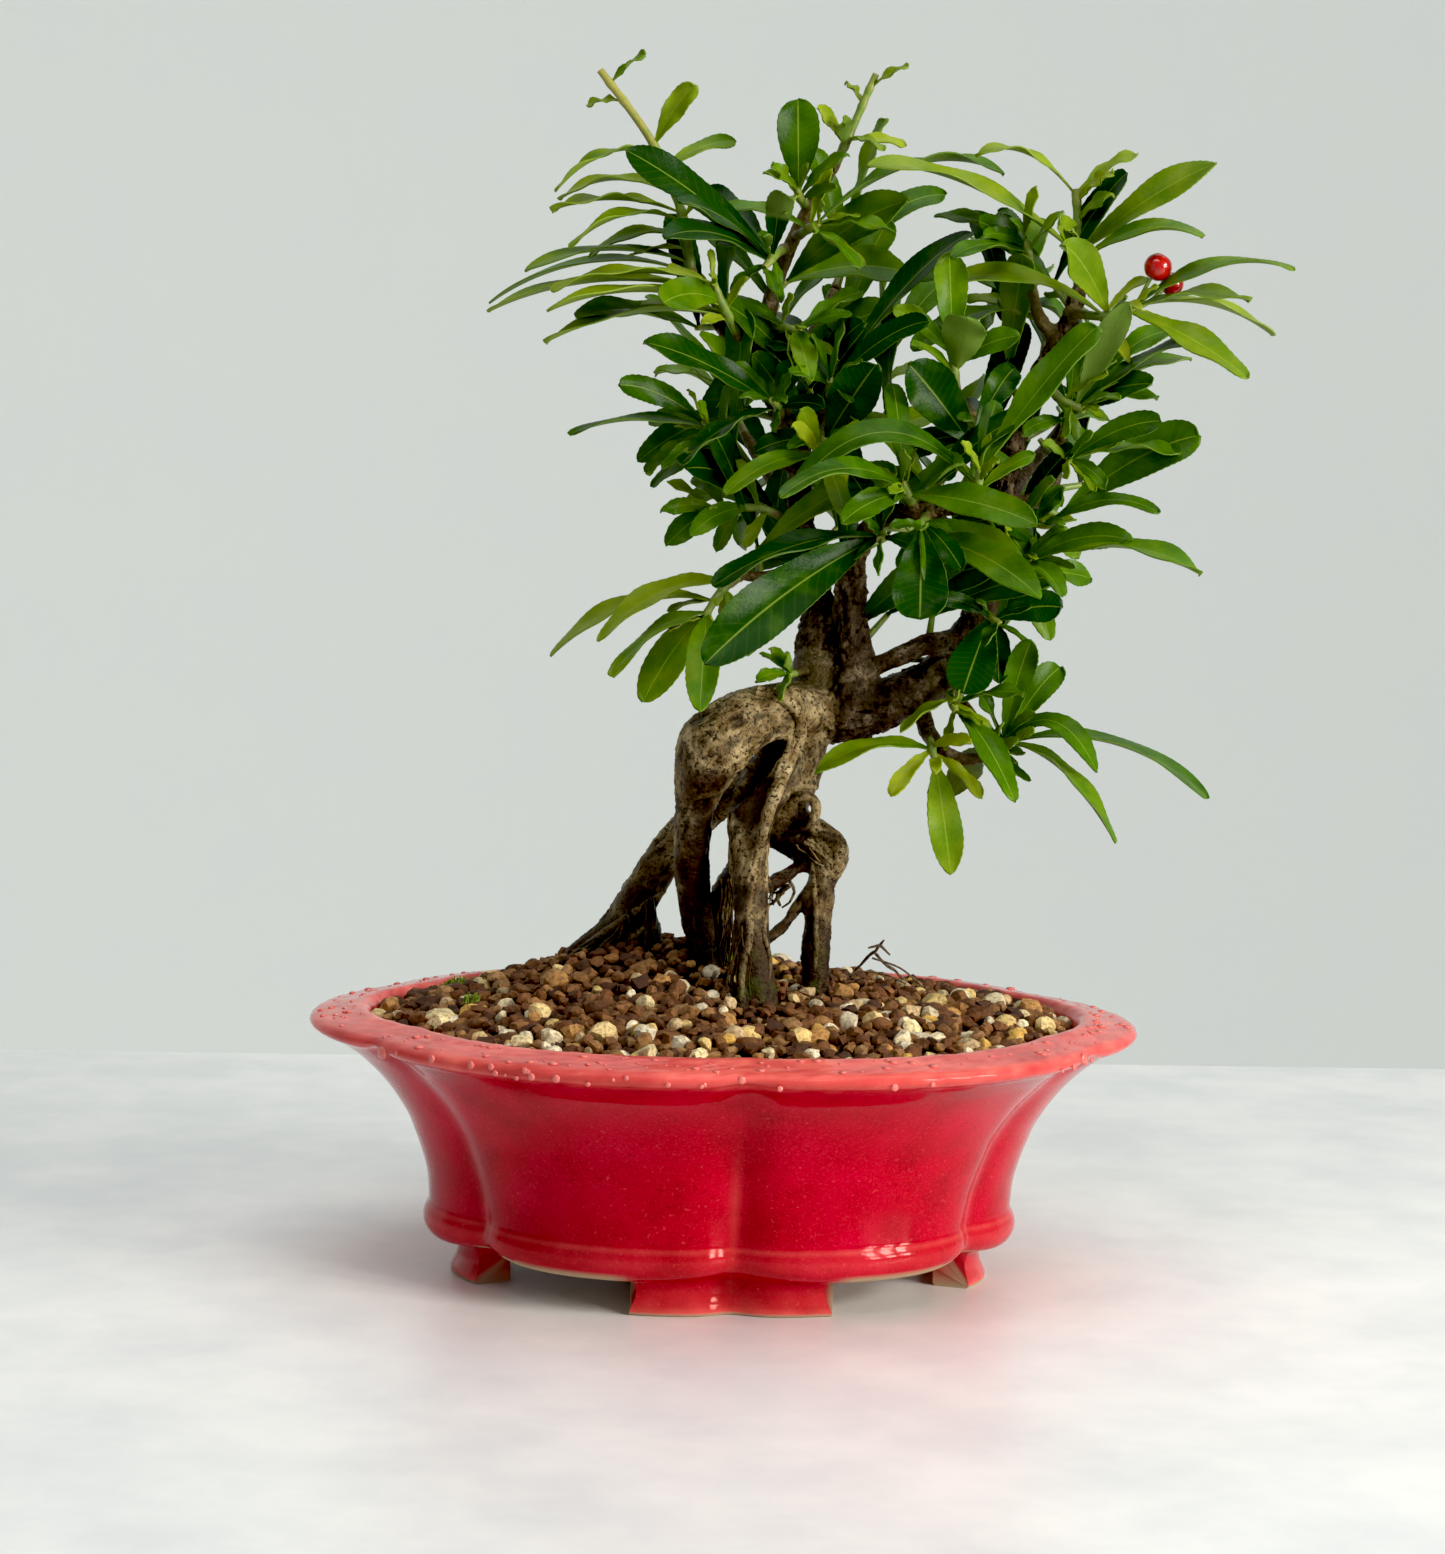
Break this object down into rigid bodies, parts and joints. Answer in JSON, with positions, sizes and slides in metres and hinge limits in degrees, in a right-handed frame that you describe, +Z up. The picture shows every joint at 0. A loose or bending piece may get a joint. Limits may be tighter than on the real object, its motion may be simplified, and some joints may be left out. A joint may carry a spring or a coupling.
{
  "type": "bonsai tree in a pot",
  "caption": "Firethorn (pyracantha) bonsai on exposed arching roots with long narrow green leaves and a red berry, planted in an oval six-lobed pot with a glossy red glaze.",
  "frame": {"origin": "middle of the whole outline, on the surface that the pot stands on; the pot's own middle is at (-13.6, -4.6, 0) mm", "axes": "+Z up, X along the pot's long side, the tree's front looks along -Y"},
  "size_m": [0.2073, 0.1518, 0.2632],
  "materials": {
    "bark": "rough grey-brown bark, paler on the exposed roots",
    "glaze": "glossy crimson glaze, speckled, over bare cream clay under the feet",
    "soil": "loose brown baked-clay grains with pale pumice",
    "leaf": "glossy dark green leaves on green shoots",
    "berry": "smooth red skin",
    "net": "plain dark mesh",
    "dry_wood": "dry grey-brown twig"
  },
  "bodies": {
    "root": {"berry_back": "berry", "berry_front": "berry", "drain_net_1": "net", "drain_net_2": "net", "dry_twig": "dry_wood", "pot": "glaze", "soil": "soil", "spray_back_crown": "leaf", "spray_back_left": "leaf", "spray_back_left_low": "leaf", "spray_back_middle": "leaf", "spray_back_middle_low": "leaf", "spray_back_right": "leaf", "spray_back_right_low": "leaf", "spray_back_top": "leaf", "spray_centre": "leaf", "spray_centre_dark": "leaf", "spray_crown": "leaf", "spray_front_arc": "leaf", "spray_front_broad": "leaf", "spray_hanging_left": "leaf", "spray_hanging_right": "leaf", "spray_heart": "leaf", "spray_left_fork": "leaf", "spray_left_leader": "leaf", "spray_left_low": "leaf", "spray_left_skirt": "leaf", "spray_left_upper": "leaf", "spray_left_waist": "leaf", "spray_limb_under": "leaf", "spray_low_right": "leaf", "spray_middle_crown": "leaf", "spray_middle_leader": "leaf", "spray_middle_left": "leaf", "spray_middle_low": "leaf", "spray_middle_right": "leaf", "spray_right_arm": "leaf", "spray_right_leader": "leaf", "spray_right_low_arm": "leaf", "spray_right_shoulder": "leaf", "spray_right_tip": "leaf", "spray_right_upper_arm": "leaf", "spray_side_right": "leaf", "spray_side_tip": "leaf", "spray_stub_front": "leaf", "spray_stub_hanging": "leaf", "spray_stub_middle": "leaf", "spray_top_inner": "leaf", "spray_trunk_bud": "leaf", "wood": "bark"}
  },
  "joints": []
}
